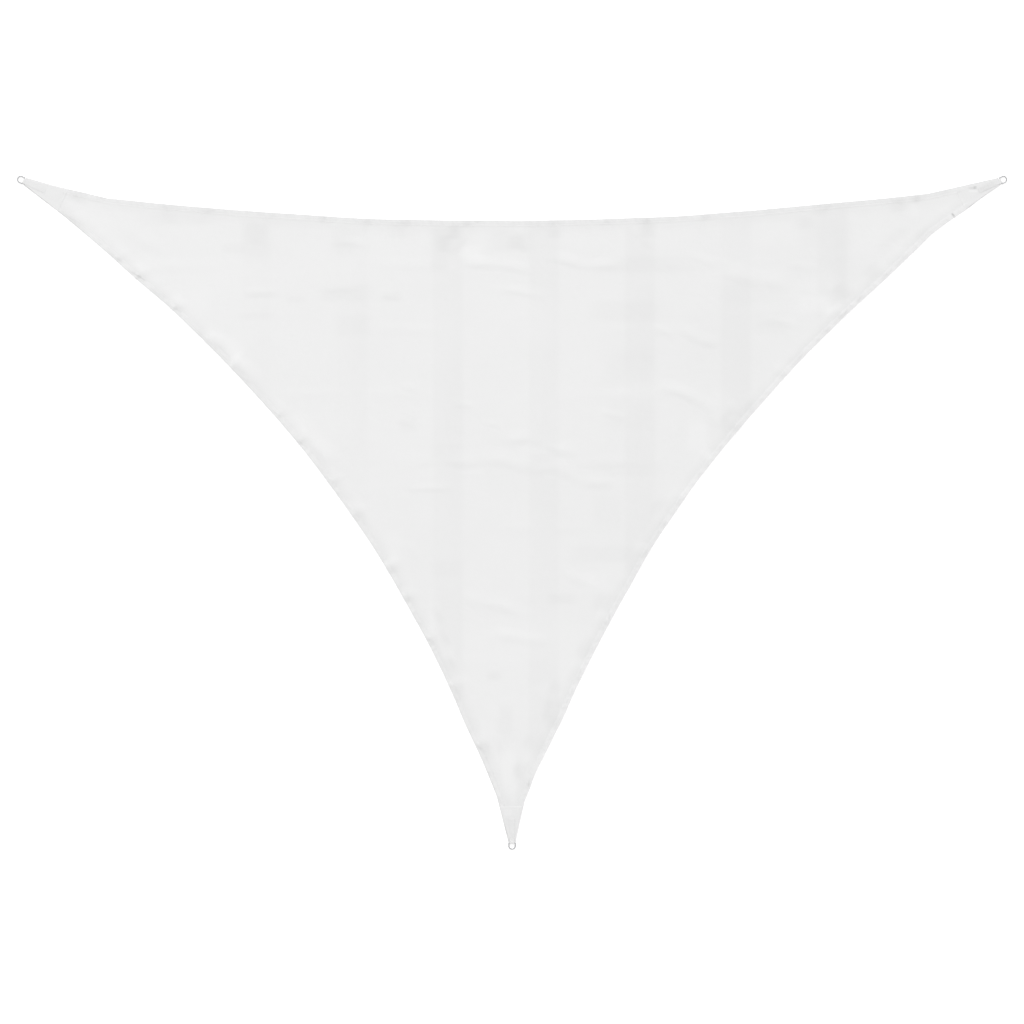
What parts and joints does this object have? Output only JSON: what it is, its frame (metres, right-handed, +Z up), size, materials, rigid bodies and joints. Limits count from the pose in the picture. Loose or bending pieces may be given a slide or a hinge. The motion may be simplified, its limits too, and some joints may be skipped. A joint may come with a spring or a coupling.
{
  "type": "shade sail",
  "caption": "Triangular shade sail with hollow-cut sides, a turned hem and doubled corners, each with a webbing tab that holds a steel D ring, laid out flat.",
  "frame": {"origin": "on the surface the sail lies on, under the middle of its box", "axes": "+X along the long top edge, +Y from the bottom corner towards that edge, +Z up out of the sail's face"},
  "size_m": [5.9902, 4.0773, 0.0108],
  "materials": {
    "cloth": "plain weave, matt white",
    "doubling": "plain weave, matt white",
    "webbing": "ribbed webbing, matt white",
    "steel": "polished stainless steel"
  },
  "bodies": {
    "root": {"sail_cloth": "cloth", "corner_patch_left": "doubling", "corner_patch_right": "doubling", "corner_patch_bottom": "doubling", "ring_tab_left": "webbing", "ring_tab_right": "webbing", "ring_tab_bottom": "webbing", "ring_left": "steel", "ring_right": "steel", "ring_bottom": "steel"}
  },
  "joints": []
}
